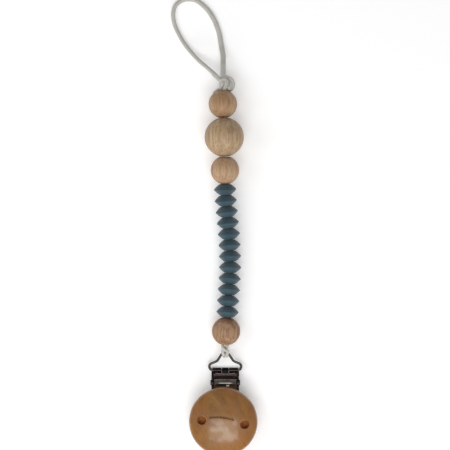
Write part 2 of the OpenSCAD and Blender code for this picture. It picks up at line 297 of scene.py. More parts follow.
class Paint:
    MIX_INPUTS = (0, 6, 7)      # a Mix node's share and its two colours
    MIX_COLOUR = 2

    def __init__(self, name):
        self.material = bpy.data.materials.new(name)
        self.material.use_nodes = True
        self.tree = self.material.node_tree
        self.shader = self.tree.nodes["Principled BSDF"]

    def node(self, kind, settings=None, inputs=None, output=0):
        made = self.tree.nodes.new(kind)
        for key, value in (settings or {}).items():
            if key == "stops":
                set_stops(made.color_ramp, value)
            else:
                setattr(made, key, value)
        for key, value in (inputs or {}).items():
            self._feed(made.inputs[key], value)
        return Value(self, made.outputs[output])

    def _feed(self, socket, value):
        if isinstance(value, Value):
            self.tree.links.new(value.socket, socket)
        else:
            socket.default_value = value

    def number(self, value):
        made = self.tree.nodes.new("ShaderNodeValue")
        made.outputs[0].default_value = value
        return Value(self, made.outputs[0])

    def place(self, kind="Object"):
        """Where on the piece a point is: in metres from its own origin, or on its UV map."""
        made = self.tree.nodes.new("ShaderNodeTexCoord")
        return Value(self, made.outputs[kind])

    def around_and_along(self):
        """Where a point is on a tube: in turns round it, and in metres along it."""
        made = self.tree.nodes.new("ShaderNodeSeparateXYZ")
        self._feed(made.inputs["Vector"], self.place("UV"))
        return Value(self, made.outputs["X"]), Value(self, made.outputs["Y"])

    def own_place(self, matrix):
        """Where a point is on a piece that was settled with this matrix."""
        at, turn, _ = matrix.decompose()
        return self.node("ShaderNodeMapping", {"vector_type": "TEXTURE"}, {
            "Vector": self.place(), "Location": at, "Rotation": turn.to_euler()})

    def stretched(self, place, scale, turn=(0, 0, 0), shift=(0, 0, 0)):
        return self.node("ShaderNodeMapping", {},
                         {"Vector": place, "Scale": scale, "Rotation": turn, "Location": shift})

    def distance(self, place, point):
        return self.node("ShaderNodeVectorMath", {"operation": "DISTANCE"},
                         {0: place, 1: tuple(point)}, output=1)

    def noise(self, place, scale, detail=3.0, roughness=0.5, distortion=0.0):
        return self.node("ShaderNodeTexNoise", {}, {
            "Vector": place, "Scale": scale, "Detail": detail, "Roughness": roughness,
            "Distortion": distortion})

    def ramp(self, value, stops):
        return self.node("ShaderNodeValToRGB", {"stops": stops}, {"Fac": value})

    def mix(self, share, first, second):
        """Colour: first where share is 0, second where it is 1."""
        made = self.tree.nodes.new("ShaderNodeMix")
        made.data_type = "RGBA"
        for key, value in zip(self.MIX_INPUTS, (share, first, second)):
            self._feed(made.inputs[key], opaque(value))
        return Value(self, made.outputs[self.MIX_COLOUR])

    def bump(self, height, strength, depth):
        return self.node("ShaderNodeBump", {},
                         {"Height": height, "Strength": strength, "Distance": depth})

    def finish(self, **sockets):
        for key, value in sockets.items():
            name = key.replace("_", " ").title().replace("Ior", "IOR")
            self._feed(self.shader.inputs[name], opaque(value))
        return self.material


def wear(piece, material):
    """Paints the whole piece with one material."""
    piece.data.materials.clear()
    piece.data.materials.append(material)
    for side in piece.data.polygons:
        side.material_index = 0
    return piece


def place_piece(piece, body, node, material):
    """Paints a piece, fixes it to its body and lets it stand for its node of the frame."""
    wear(piece, material)
    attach(piece, body)
    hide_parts(node)


print("paint kit ready")

# %% [markdown]
# ## Satin cord
#
# The cord is rayon satin braid: pale cream, soft sheen, with fine strands that cross in
# long diagonals. The braid is two sets of waves round and along the tube, one leaning each
# way, and their sum drives a shallow bump. Handling leaves it slightly grey in patches.


# %% Satin cord material
STRANDS_ROUND = 6
BRAID_PITCH = 1.5 * MM


def satin_cord(name, dark, pale, braided=False):
    paint = Paint(name)
    patch = paint.noise(paint.place(), 260, detail=2)
    colour = paint.ramp(patch, [(0.3, dark), (0.7, pale)])
    if braided:
        around, along = paint.around_and_along()
        turns = around * (math.tau * STRANDS_ROUND)
        runs = along * (math.tau / BRAID_PITCH)
        braid = (turns + runs).sine() * 0.5 + (turns - runs).sine() * 0.5
        # painted shade in the grooves between the strands of the braid
        shaded = paint.mix(braid.over(-1.0, 0.2), (0.37, 0.355, 0.32), colour)
        return paint.finish(base_color=shaded, roughness=0.3, sheen_weight=0.3,
                            sheen_roughness=0.4, normal=paint.bump(braid, 0.35, 0.08 * MM))
    strands = paint.noise(paint.place(), 2600, detail=2)
    return paint.finish(base_color=colour, roughness=0.45, sheen_weight=0.35,
                        normal=paint.bump(strands, 0.25, 0.05 * MM))


CREAM = ((0.50, 0.485, 0.44), (0.62, 0.60, 0.55))
SATIN = satin_cord("satin_cord", *CREAM, braided=True)
SATIN_PLAIN = satin_cord("satin_cord_plain", *CREAM)
# painted shade: a nearly black copy of the cord for the narrow gaps between the lentils
SATIN_SHADED = satin_cord("satin_cord_painted_shade", (0.006, 0.013, 0.018), (0.012, 0.024, 0.031))
wear(cord_loop, SATIN)
print("cord painted")

# %% [markdown]
# ## Wood
#
# Both woods are beech or schima: a pale body with fine brown fibres along the grain and
# faint broad bands where a growth ring comes up. Fibres are noise squeezed hard across the
# grain and drawn out along it. The beads are bare and sanded, so they scatter light. The
# face is oiled: darker, warmer and under a clear coat.


# %% Wood materials
# painted shade round the mouths of the wooden beads, where they meet their neighbours
MOUTH_SHADE = (0.150, 0.060, 0.028)
RING_PITCH = 0.95 * MM


def bare_wood(name, matrix, half, tones, seed, branch=None):
    """Grain runs along the bead's own Z. Round both mouths, half away from its middle, the
    colour is painted darker: painted shade where the beads meet. A branch leaves rings round
    the point given."""
    pale, deep, fibre = tones
    paint = Paint(name)
    place = paint.own_place(matrix)
    shift = (seed * 0.37, seed * 0.91, seed * 0.13)
    fibres = paint.noise(paint.stretched(place, (1, 1, 0.03), shift=shift), 1250, detail=4,
                         roughness=0.6)
    bands = paint.noise(paint.stretched(place, (1, 0.35, 0.09), shift=shift), 330, detail=2,
                        distortion=0.6)
    clouds = paint.noise(paint.stretched(place, (1, 1, 0.5), shift=shift), 110, detail=1)
    body = paint.mix(bands.over(0.35, 0.65), pale, deep)
    body = paint.mix(clouds.over(0.42, 0.72) * 0.4, body, (0.36, 0.185, 0.095))
    colour = paint.mix(fibres.over(0.44, 0.70) * 0.7, body, fibre)
    if branch is not None:
        away = paint.distance(paint.place(), branch)
        rings = (away * (math.tau / RING_PITCH) + 1.0).sine() * 0.5 + 0.5
        near = 1.0 - away.over(1.2 * MM, 3.4 * MM)
        colour = paint.mix(near * rings * 0.85, colour, fibre)
    # painted shade: the colour darkens towards both mouths
    clear = (paint.distance(place, (0, 0, half)).over(2.0 * MM, 4.2 * MM)
             * paint.distance(place, (0, 0, -half)).over(2.0 * MM, 4.2 * MM))
    colour = paint.mix((1.0 - clear) * 0.65, colour, MOUTH_SHADE)
    grain = fibres * -1.0 + bands * 0.3
    return paint.finish(base_color=colour, roughness=fibres * 0.2 + 0.42,
                        normal=paint.bump(grain, 0.25, 0.06 * MM))


GLOW_FROM = FACE_CENTRE + Vector((-7, 8, 0)) * MM
GRAIN_SLANT = -28


def oiled_wood():
    """Grain runs steeply across the face on a slant, and reddens towards the lower right."""
    paint = Paint("oiled_wood")
    place = paint.stretched(paint.place(), (1, 1, 1), turn=(0, 0, math.radians(GRAIN_SLANT)))
    bent = paint.noise(paint.stretched(place, (1, 0.3, 1)), 120, detail=4, roughness=0.6,
                       distortion=1.1)
    fibres = paint.noise(paint.stretched(place, (1, 0.06, 1)), 1500, detail=4, roughness=0.6)
    clouds = paint.noise(place, 75, detail=2)
    body = paint.ramp(bent, [(0.30, (0.196, 0.080, 0.014)), (0.46, (0.240, 0.102, 0.018)),
                             (0.58, (0.285, 0.127, 0.022)), (0.74, (0.335, 0.160, 0.031))])
    body = paint.mix(clouds.over(0.42, 0.68) * 0.5, body, (0.310, 0.110, 0.018))
    glow = paint.distance(paint.place(), GLOW_FROM).over(12 * MM, 27 * MM)
    body = paint.mix(glow * 0.5, body, (0.320, 0.118, 0.018))
    colour = paint.mix(fibres.over(0.46, 0.74) * 0.42, body, (0.125, 0.050, 0.010))
    film = paint.noise(paint.place(), 190, detail=2).over(0.38, 0.60) * 0.6 + 0.4
    return paint.finish(base_color=colour, roughness=0.45, coat_weight=film,
                        coat_roughness=0.17, coat_ior=1.6, sheen_weight=0.3,
                        sheen_roughness=0.25,
                        normal=paint.bump(fibres, 0.12, 0.03 * MM))


def cut_wood(name, dark, pale):
    """Wood laid bare by a tool: dry, and darker where the tool scorched it."""
    paint = Paint(name)
    cloud = paint.noise(paint.place(), 900, detail=2)
    colour = paint.ramp(cloud, [(0.3, dark), (0.7, pale)])
    return paint.finish(base_color=colour, roughness=0.8)


DRILLED = cut_wood("drilled_wood", (0.40, 0.155, 0.045), (0.54, 0.235, 0.080))
SCORCHED = cut_wood("scorched_wood", (0.060, 0.026, 0.008), (0.100, 0.045, 0.014))
print("woods mixed")

# %% [markdown]
# ## Silicone, metal and plastic
#
# The lentils are matte food-grade silicone in slate blue, which picks up a little dust.
# The clip is steel with a black nickel plate: nearly black, warm, very glossy, dulled in
# soft patches and rubbed pale along fine scratches. Some parts of the clip wear lighter or
# darker copies of the plate: a painted highlight on the lever's roll, the jaw's hem and the
# lever's tab, painted shade on the back plate and the jaw's tongue, and a painted reflection
# of the wooden face on the lever's strip. The wire has the same plate, worn thinner.


# %% Silicone, metal and plastic materials
def silicone():
    paint = Paint("silicone")
    place = paint.place()
    cloud = paint.noise(place, 240, detail=2)
    dust = paint.noise(place, 5200, detail=2).over(0.62, 0.8)
    colour = paint.ramp(cloud, [(0.3, (0.030, 0.066, 0.086)), (0.7, (0.047, 0.087, 0.110))])
    dusty = paint.mix(dust * 0.25, colour, (0.30, 0.34, 0.36))
    skin = paint.noise(place, 3600, detail=2)
    return paint.finish(base_color=dusty, roughness=cloud * 0.14 + 0.5, sheen_weight=0.2,
                        specular_ior_level=0.4, normal=paint.bump(skin, 0.12, 0.03 * MM))


def plated(name, dark, pale, rough):
    paint = Paint(name)
    place = paint.place()
    cloud = paint.noise(place, 420, detail=3)
    scratch = paint.noise(paint.stretched(place, (1, 0.06, 1)), 2600, detail=3)
    worn = scratch.over(0.58, 0.74) * 0.3
    colour = paint.mix(worn, paint.mix(cloud.over(0.4, 0.7) * 0.4, dark, pale), pale)
    return paint.finish(base_color=colour, metallic=0.92, roughness=cloud * 0.12 + rough,
                        normal=paint.bump(scratch, 0.1, 0.02 * MM))


def pad_plastic():
    paint = Paint("pad_plastic")
    cloud = paint.noise(paint.place(), 900, detail=2)
    colour = paint.ramp(cloud, [(0.3, (0.62, 0.60, 0.55)), (0.7, (0.72, 0.70, 0.65))])
    return paint.finish(base_color=colour, roughness=0.5,
                        normal=paint.bump(cloud, 0.1, 0.03 * MM))


SILICONE = silicone()
# painted shade: a darker, duller copy of the plate for the back plate, so its knuckles stay dark
SHADED_GUNMETAL = plated("gunmetal_painted_shade", (0.026, 0.019, 0.018), (0.050, 0.038, 0.035), 0.2)
# painted highlight: a pale, glossy copy of the plate for the lever's roll and the jaw's hem
HIGHLIT_GUNMETAL = plated("gunmetal_painted_highlight", (0.17, 0.145, 0.130), (0.28, 0.245, 0.225), 0.12)
GUNMETAL = plated("gunmetal", (0.033, 0.020, 0.020), (0.066, 0.044, 0.042), 0.13)
# painted reflection: a warm brown copy of the plate, the wooden face mirrored in the lever's
# strip
WOOD_REFLECTION_GUNMETAL = plated("gunmetal_painted_wood_reflection", (0.105, 0.062, 0.035), (0.180, 0.115, 0.070), 0.3)
# painted highlight: a pale copy of the plate for the lever's tab
TAB_HIGHLIGHT_GUNMETAL = plated("gunmetal_painted_tab_highlight", (0.30, 0.26, 0.21), (0.42, 0.37, 0.31), 0.28)
WIRE = plated("bail_wire", (0.115, 0.105, 0.095), (0.27, 0.255, 0.235), 0.24)
SCREW = plated("screw_steel", (0.40, 0.39, 0.37), (0.55, 0.54, 0.51), 0.28)
# painted shade: a nearly black copy of the plate for the jaw's tongue and its curl
SHADED_BLACK_STEEL = plated("black_steel_painted_shade", (0.006, 0.005, 0.005), (0.014, 0.011, 0.011), 0.3)
PAD = pad_plastic()
print("metals, silicone and plastic mixed")

# %% [markdown]
# ## Beads
#
# Every bead is turned, so each is an outline spun round its bore. The outline is a closed
# line: up the outside, over the mouth, and down the bore. Corners are short arcs, because
# a tumbled bead has no sharp edge and the soft rim of its bore catches light.


# %% Spin an outline
def spin(name, outline, steps=96):
    """A ring-shaped solid of revolution round local Z from a closed outline of (r, z)."""
    mesh = bpy.data.meshes.new(name)
    count = len(outline)
    points = [(r * math.cos(a), r * math.sin(a), z)
              for a in (math.tau * k / steps for k in range(steps)) for r, z in outline]
    faces = []
    for k in range(steps):
        here, there = k * count, (k + 1) % steps * count
        for i in range(count):
            j = (i + 1) % count
            faces.append((here + i, there + i, there + j, here + j))
    mesh.from_pydata(points, [], faces)
    return new_piece(name, mesh, 60)


def arc(centre, radius, start, end, steps):
    """Points on an arc, with its angles in degrees."""
    return [(centre[0] + radius * math.cos(a), centre[1] + radius * math.sin(a))
            for a in (math.radians(start + (end - start) * k / steps)
                      for k in range(steps + 1))]


BORE_R = 2.1 * MM
print("lathe ready")

# %% [markdown]
# A wooden bead is a ball with a small flat round each mouth. Its radius is half of the
# widest side of its box, and the flats stand where the gap to the next bead begins.


# %% Wooden beads
FLAT_R = 2.5 * MM
EASE = 0.22 * MM


def ball_outline(radius):
    half = math.sqrt(radius**2 - FLAT_R**2)
    reach = math.degrees(math.asin((half - EASE * 0.55) / radius))
    mouth = BORE_R + EASE
    return [*arc((0, 0), radius, -reach, reach, 56),
            (FLAT_R - EASE * 0.2, half - EASE * 0.08),
            *arc((mouth, half - EASE), EASE, 90, 180, 4),
            *arc((mouth, -half + EASE), EASE, 180, 270, 4),
            (FLAT_R - EASE * 0.2, -half + EASE * 0.08)]


BEAD_TONES = {
    "bottom": ((0.43, 0.262, 0.148), (0.27, 0.136, 0.068), (0.120, 0.052, 0.025)),
    "upper": ((0.54, 0.372, 0.222), (0.43, 0.272, 0.155), (0.235, 0.120, 0.064)),
    "large": ((0.53, 0.385, 0.235), (0.40, 0.270, 0.155), (0.235, 0.140, 0.070)),
    "top": ((0.49, 0.322, 0.180), (0.385, 0.228, 0.118), (0.225, 0.115, 0.058))}

BRANCH = bead_middle("large") + Vector((3.5, 3.3, 8.8)) * MM

for number, name in enumerate(WOODEN):
    node = f"bead_{name}"
    low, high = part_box(node)
    radius = max(high - low) / 2
    bead = spin(f"{node}_turned", ball_outline(radius))
    seat = standing(bead_middle(name), heading(name), turn=0.8 * number)
    settle(bead, seat)
    wood = bare_wood(f"bare_wood_{name}", seat, radius, BEAD_TONES[name], number + 1,
                     branch=BRANCH if name == "large" else None)
    place_piece(bead, f"bead_{name}", node, wood)
print("wooden beads:", len(WOODEN))

# %% [markdown]
# A lentil bead is moulded: two shallow cones, very slightly swollen, that meet in a rim
# with a small radius. One curve gives the whole flank, so light rolls over it without a
# visible joint.

# %% Lentil beads
LENTIL_FACE_R = 2.75 * MM
LENTIL_R = 5.75 * MM
LENTIL_GAP = 0.24 * MM


def lentil_outline(half, steps=22):
    flank = []
    for k in range(steps + 1):
        share = math.sin(math.pi / 2 * k / steps)
        height = half * (1 - share**1.22) ** 0.86
        flank.append((LENTIL_FACE_R + (LENTIL_R - LENTIL_FACE_R) * share, height))
    lower = [(r, -z) for r, z in flank[:-1]]
    mouth = BORE_R + EASE
    return [*lower, *reversed(flank),
            *arc((mouth, half - EASE), EASE, 90, 180, 3),
            *arc((mouth, -half + EASE), EASE, 180, 270, 3)]


for number, name in enumerate(LENTILS):
    pitch = (pivot(f"bend_{STRAND[number + 2]}") - pivot(f"bend_{name}")).length
    bead = spin(f"{name}_moulded", lentil_outline((pitch - LENTIL_GAP) / 2))
    settle(bead, standing(bead_middle(name), heading(name), turn=1.7 * number))
    place_piece(bead, name, name, SILICONE)
print("lentil beads:", len(LENTILS))

# %% [markdown]
# The runs of cord inside the bores only show in the gaps, so the frame's own rods stay and
# take the cord's colour. Between the lentils the cord is painted nearly black slate instead:
# painted shade for the narrow dark gaps. A rod stops just short of each gap, so a small ball
# of the same dark cord fills the bend there and turns with it.


# %% Cord in the bores
CORE_R = 2.03 * MM


def cord_core(name):
    """The cord at the gap below one bead."""
    core = new_piece(f"cord_core_{name}", bpy.data.meshes.new("cord_core"))
    ball = bmesh.new()
    bmesh.ops.create_icosphere(ball, subdivisions=3, radius=CORE_R)
    ball.to_mesh(core.data)
    ball.free()
    core.data.shade_smooth()
    settle(core, Matrix.Translation(pivot(f"bend_{name}")))
    # the ball wears the nearly black cord, painted shade in the gap
    return wear(core, SATIN_SHADED)


for node, piece in frame["nodes"].items():
    if node.startswith("cord_") and node != "cord_loop":
        piece.data.shade_smooth()
        piece.data.set_sharp_from_angle(angle=math.radians(50))
        # runs inside the lentils wear the painted-shade cord
        wear(piece, SATIN_SHADED if "lentil" in node else SATIN_PLAIN)
for name in [*LENTILS, "upper"]:
    core = cord_core(name)
    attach(core, name if name in LENTILS else f"cord_{name}")
print("cord runs painted, cores:", len(LENTILS) + 1)

# %% [markdown]
# ## Top knot
#
# Above the last bead the doubled cord is tied in a tight knot, which sits to the right of
# the bore. Each of its two cords runs from its side of the free loop, round the other one
# and down into the bead. The points are given from the middle of the knot: right, up
# along the strap, and towards the viewer.

# %% Knot
KNOT_AT = middle("top_knot")
KNOT_CORD_R = 1.08 * MM
CORD_LINES = {
    "right": [(-1.2, 6.2, -1.2), (-0.7, 4.2, -0.3), (0.9, 3.3, 0.6), (2.9, 2.2, 0.6),
              (3.8, 0.2, 0.3), (3.4, -1.9, -0.2), (1.7, -3.1, -1.2), (-0.9, -2.7, -2.2),
              (-2.5, -0.9, -1.6), (-2.3, 1.0, 0.3), (-0.9, 2.3, 1.9), (0.5, 1.5, 2.5),
              (0.4, -0.6, 2.5), (-0.5, -2.6, 1.6), (-1.0, -4.2, 0.5)],
    "left": [(-6.4, 5.4, -1.2), (-4.7, 3.7, -0.4), (-2.9, 2.1, 0.2), (-0.9, 2.6, -1.3),
             (1.4, 2.1, -0.6), (2.4, 0.9, 0.9), (2.3, -1.2, 1.3), (1.6, -2.4, 1.1),
             (0.9, -0.9, 1.5), (0.0, 0.6, 1.2), (-1.5, 0.3, 1.5), (-2.3, -1.3, 1.0),
             (-2.5, -2.8, 0.3), (-1.7, -4.2, 0.3)]}

for name, points in CORD_LINES.items():
    line = rounded([KNOT_AT + Vector(p) * MM for p in points])
    run = tube(f"top_knot_{name}", line, KNOT_CORD_R, sides=16)
    place_piece(run, "cord_top", "top_knot", SATIN)
print("knot tied")

# %% [markdown]
# One end of the cord is trimmed close and sealed with heat. It lies on the bead's shoulder.

# %% Trimmed end
TAIL_R = 0.78 * MM
TAIL_POINTS = [(-1.6, -2.0, 0.0), (-3.3, -2.6, 0.5), (-4.9, -3.6, 0.5), (-6.2, -4.7, 0.0)]


def tail_section(share):
    """The melted tip draws in."""
    return 1 - 0.3 * share**3, 1 - 0.35 * share**3


tail_line = rounded([KNOT_AT + Vector(p) * MM for p in TAIL_POINTS])
tail = tube("knot_tail_trimmed", tail_line, TAIL_R, shape=tail_section)
place_piece(tail, "cord_top", "knot_tail", SATIN)
print("end trimmed")

# %% [markdown]
# ## Bail
#
# The bail is one bent wire. Its outline is a list of straights and bends from the hinge to
# the middle of the top, and the other half mirrors it. It swings on its own two ends.


# %% Bail
BAIL_PIVOT = pivot("bail_swing")
BAIL_TILT = math.radians(24)
BAIL_STEPS = [(6.45, 0), (1.4, 70), (0.6, 0), (1.9, 85), (2.3, 0), (3, -35), (3.4, 0),
              (1.2, 60)]
WIRE_R = 0.65 * MM
PIN_INSIDE = 0.15       # mm from the middle to where the wire's end stops


def bent_wire(steps):
    """Points along straights (length, 0) and bends (radius, turn in degrees)."""
    at, way, points = Vector((PIN_INSIDE, 0, 0)), 0.0, [Vector((PIN_INSIDE, 0, 0))]
    for size, turn in steps:
        pieces = 6 if turn else 3
        for _ in range(pieces):
            if turn:
                bend = math.radians(turn) / pieces
                chord = 2 * size * math.sin(abs(bend) / 2)
                at = at + chord * Vector((math.cos(way + bend / 2), math.sin(way + bend / 2), 0))
                way += bend
            else:
                at = at + size / pieces * Vector((math.cos(way), math.sin(way), 0))
            points.append(at.copy())
    return points


bail_half = bent_wire(BAIL_STEPS)
bail_flat = [*bail_half, *[Vector((-p.x, p.y, 0)) for p in reversed(bail_half)]]
BAIL_SET = Matrix.Translation(BAIL_PIVOT) @ Matrix.Rotation(BAIL_TILT, 4, "X")
bail_line = [BAIL_SET @ (p * MM) for p in bail_flat]
bail = tube("bail_wire", bail_line, WIRE_R, sides=18, cap=FLAT_END)
place_piece(bail, "bail", "bail", WIRE)
APEX = BAIL_SET @ (Vector((0, bail_half[-1].y, 0)) * MM)
print("bail bent, apex at", [round(c / MM, 2) for c in APEX])

# %% [markdown]
# ## Lower hitch
#
# The doubled cord grips the bail in a hitch. Each cord comes down from the bead, crosses
# over the other one, passes over the wire and back beneath it, and the two join behind. It
# is one line: down one side, across the back and up the other. Its points are given from
# the middle of the wire, in millimetres: right, up the strap, and towards the viewer.

# %% Lower hitch
HITCH_CORD_R = 0.9 * MM
UNDER_WIRE = [(0.75, -1.15, 0.4), (0.85, -0.8, -1.0), (1.0, 0.7, -1.4)]
HITCH_BACK = (0, 1.3, -1.0)
HITCH_DOWN = [(-1.1, 5.0, 0.2), (-1.1, 4.2, 0.9), (-0.3, 3.2, 1.6), (0.9, 2.4, 1.6),
              (1.2, 1.4, 1.5), (0.85, 0.0, 1.5), *UNDER_WIRE]
HITCH_UP = [(1.1, 5.0, 0.2), (1.1, 4.2, 0.5), (0.3, 3.2, 0.1), (-0.9, 2.4, 0.9),
            (-1.2, 1.4, 1.3), (-0.85, 0.0, 1.5), *[(-x, y, z) for x, y, z in UNDER_WIRE]]

way = pivot("bend_bottom") - APEX
slope = math.atan2(way.z, way.y)
lean = math.atan2(-way.x, math.hypot(way.y, way.z))
HITCH_SET = (Matrix.Translation(APEX) @ Matrix.Rotation(lean, 4, "Z")
             @ Matrix.Rotation(slope, 4, "X"))
hitch_points = [*HITCH_DOWN, HITCH_BACK, *reversed(HITCH_UP)]
hitch_line = rounded([HITCH_SET @ (Vector(p) * MM) for p in hitch_points])
hitch = tube("lower_hitch_cord", hitch_line, HITCH_CORD_R, sides=16)
place_piece(hitch, "bail", "lower_hitch", SATIN)
print("hitch tied")

# %% [markdown]
# ## Clip metalwork
#
# The pressed plates come from the frame as they are. A real pressing has a small radius on
# every edge from tumbling, and that radius is what glints. A Bevel modifier adds it.


# %% Plates, pin, pad and screws
def ease_edges(piece, width, from_angle=40, sharp_angle=None):
    """Rounds every real edge of a piece."""
    if sharp_angle:
        piece.data.shade_smooth()
        piece.data.set_sharp_from_angle(angle=math.radians(sharp_angle))
    bevel = piece.modifiers.new("eased_edges", "BEVEL")
    bevel.width, bevel.segments = width, 2
    bevel.limit_method, bevel.angle_limit = "ANGLE", math.radians(from_angle)
    bevel.harden_normals = bool(sharp_angle)
    return piece


# the back plate wears the painted-shade copy of the plate
PRESSINGS = (("back_plate", 0.12, SHADED_GUNMETAL), ("lever_pin", 0.15, GUNMETAL),
             ("jaw_pad", 0.08, PAD), ("face_screws", 0.1, SCREW))
for node, width, material in PRESSINGS:
    wear(ease_edges(frame["nodes"][node], width * MM, sharp_angle=35), material)
print("plates eased:", len(PRESSINGS))

# %% [markdown]
# The spring jaw is the one plate with a shape of its own. It is dished between the hinge
# and the lever, which makes it stiff, so it mirrors the window only along its upper edge;
# that edge is a rolled hem painted pale, a painted highlight. It is a thin slab on a grid.
# Its tongue curls round the bail's two ends and is painted nearly black: painted shade.

# %% Spring jaw
JAW_LOW, JAW_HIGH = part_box("spring_jaw")
JAW_T = 0.6 * MM
JAW_MIDDLE = (JAW_LOW.x + JAW_HIGH.x) / 2
JAW_HALF = (JAW_HIGH.x - JAW_LOW.x) / 2
JAW_HINGE = pivot("jaw_open")
JAW_END = JAW_HINGE.y - 1.32 * MM
DISH_LENGTH = 7.0 * MM
DISH_STEEP = 0.14
DISH_DEPTH = 0.62 * MM
TONGUE_HALF = 1.7 * MM
TONGUE_ROLL = (0.7 * MM, 1.25 * MM)     # inside and outside of the curl
HEM_R = 0.3 * MM
HEM_SAG = 0.6 * MM
SHEET_EASE = 0.1 * MM


def slab(name, x_range, y_range, top, thick, across=28, along=56):
    """A thin closed sheet whose upper side is the function top(x, y)."""
    xs = [x_range[0] + (x_range[1] - x_range[0]) * i / across for i in range(across + 1)]
    ys = [y_range[0] + (y_range[1] - y_range[0]) * k / along for k in range(along + 1)]
    upper = [(x, y, top(x, y)) for y in ys for x in xs]
    points = upper + [(x, y, z - thick) for x, y, z in upper]
    row, count = across + 1, len(upper)
    faces = []
    for k in range(along):
        for i in range(across):
            a = k * row + i
            faces.append((a, a + 1, a + 1 + row, a + row))
            faces.append((a + count, a + row + count, a + 1 + row + count, a + 1 + count))
    rim = [*range(row), *[k * row + across for k in range(1, along + 1)],
           *[along * row + i for i in range(across - 1, -1, -1)],
           *[k * row for k in range(along - 1, 0, -1)]]
    for a, b in zip(rim, [*rim[1:], rim[0]]):
        faces.append((b, a, a + count, b + count))
    mesh = bpy.data.meshes.new(name)
    mesh.from_pydata(points, [], faces)
    return ease_edges(new_piece(name, mesh, 40), SHEET_EASE)


def jaw_top(x, y):
    """Drops steeply behind the hinge, and climbs gently back towards the lever."""
    share = min(1.0, max(0.0, (JAW_END - y) / DISH_LENGTH))
    side = 1 - 0.55 * (x - JAW_MIDDLE) ** 2 / JAW_HALF**2
    drop = math.sin(math.pi / 2 * min(1.0, share / DISH_STEEP))
    climb = max(0.0, share - DISH_STEEP) / (1 - DISH_STEEP)
    return JAW_HIGH.z - DISH_DEPTH * drop * (1 - climb) * side


def flat_top(below):
    """A flat upper side, a little below the top of the jaw."""
    return lambda x, y: JAW_HIGH.z - below * MM


def tongue_curl():
    inside, outside = TONGUE_ROLL
    outline = [(inside, -TONGUE_HALF), (outside, -TONGUE_HALF),
               (outside, TONGUE_HALF), (inside, TONGUE_HALF)]
    seat = standing((JAW_MIDDLE, JAW_HINGE.y, JAW_HINGE.z), Vector((1, 0, 0)))
    return settle(spin("spring_jaw_roll", outline, 64), seat)


def jaw_hem():
    """The rolled edge beside the hinge, which sags in the middle. It is painted pale: a painted
    highlight.
    """
    line = rounded([(JAW_MIDDLE + JAW_HALF * u, JAW_END - HEM_SAG * (1 - u**2),
                     JAW_HIGH.z - HEM_R) for u in (-0.86, -0.5, 0, 0.5, 0.86)], 5)
    return tube("spring_jaw_hem", line, HEM_R, sides=12)


jaw_width = (JAW_LOW.x, JAW_HIGH.x)
tongue_width = (JAW_MIDDLE - TONGUE_HALF, JAW_MIDDLE + TONGUE_HALF)
# the tongue and its curl wear the painted-shade black, the hem the painted highlight
jaw_parts = [
    (slab("spring_jaw_plate", jaw_width, (JAW_LOW.y, JAW_END), jaw_top, JAW_T), GUNMETAL),
    (slab("spring_jaw_tongue", tongue_width, (JAW_END - 0.5 * MM, JAW_HINGE.y),
          flat_top(0.02), 0.5 * MM, 4, 4), SHADED_BLACK_STEEL),
    (slab("spring_jaw_lip", jaw_width, (JAW_LOW.y, JAW_LOW.y + JAW_T),
          flat_top(0.1), 0.7 * MM, 4, 2), GUNMETAL),
    (tongue_curl(), SHADED_BLACK_STEEL),
    (jaw_hem(), HIGHLIT_GUNMETAL)]
for part, finish in jaw_parts:
    place_piece(part, "jaw", "spring_jaw", finish)
print("jaw pressed:", len(jaw_parts), "parts")

# %% [markdown]
# The lever is one strip. It lies flat under the wooden face, dips as it comes out from
# under it, and then rolls right round the pin. The roll stands proud of the dip, and its
# rounded top is painted pale as the brightest line on the clip: a painted highlight. The
# flat strip is painted warm brown: a painted reflection of the wooden face. The free end of
# the strip shows as a tab, painted pale: a painted highlight.

# %% Lever
LEVER_LOW, LEVER_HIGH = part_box("lever_plate")
LEVER_MIDDLE = (LEVER_LOW.x + LEVER_HIGH.x) / 2
LEVER_HALF = (LEVER_HIGH.x - LEVER_LOW.x) / 2
LEVER_T = 0.7 * MM
ROLL = pivot("lever_open")
ROLL_R = LEVER_HIGH.z - ROLL.z
PIN_R = 1.05 * MM
DIP_START = FACE_CENTRE.y + 15 * MM
DIP_LENGTH = 3.2 * MM
DIP_DEPTH = 0.85 * MM
LOBE_HALF = 0.85 * MM
LOBE_DEPTH = ROLL.z - LEVER_LOW.z - PIN_R
ROLL_EASE = 0.12 * MM


def lever_top(x, y):
    """Flat under the face, and lower and lower towards the roll."""
    share = min(1.0, max(0.0, (y - DIP_START) / DIP_LENGTH))
    return LEVER_HIGH.z - DIP_DEPTH * share**1.6


def pin_roll():
    """The strip's turn round the pin, with eased ends."""
    long = 2 * LEVER_HALF
    outline = [(PIN_R, 0), (ROLL_R - ROLL_EASE, 0), (ROLL_R, ROLL_EASE),
               (ROLL_R, long - ROLL_EASE), (ROLL_R - ROLL_EASE, long), (PIN_R, long)]
    seat = standing((LEVER_MIDDLE - LEVER_HALF, ROLL.y, ROLL.z), Vector((1, 0, 0)))
    return settle(spin("lever_plate_roll", outline, 72), seat)


def round_end(piece, radius, centre_y):
    """Draws the sheet's corners in to a half circle beyond centre_y."""
    for vertex in piece.data.vertices:
        beyond = centre_y - vertex.co.y
        if beyond > 0:
            half = math.sqrt(max(0.0, radius**2 - beyond**2))
            vertex.co.x = LEVER_MIDDLE + (vertex.co.x - LEVER_MIDDLE) * half / radius


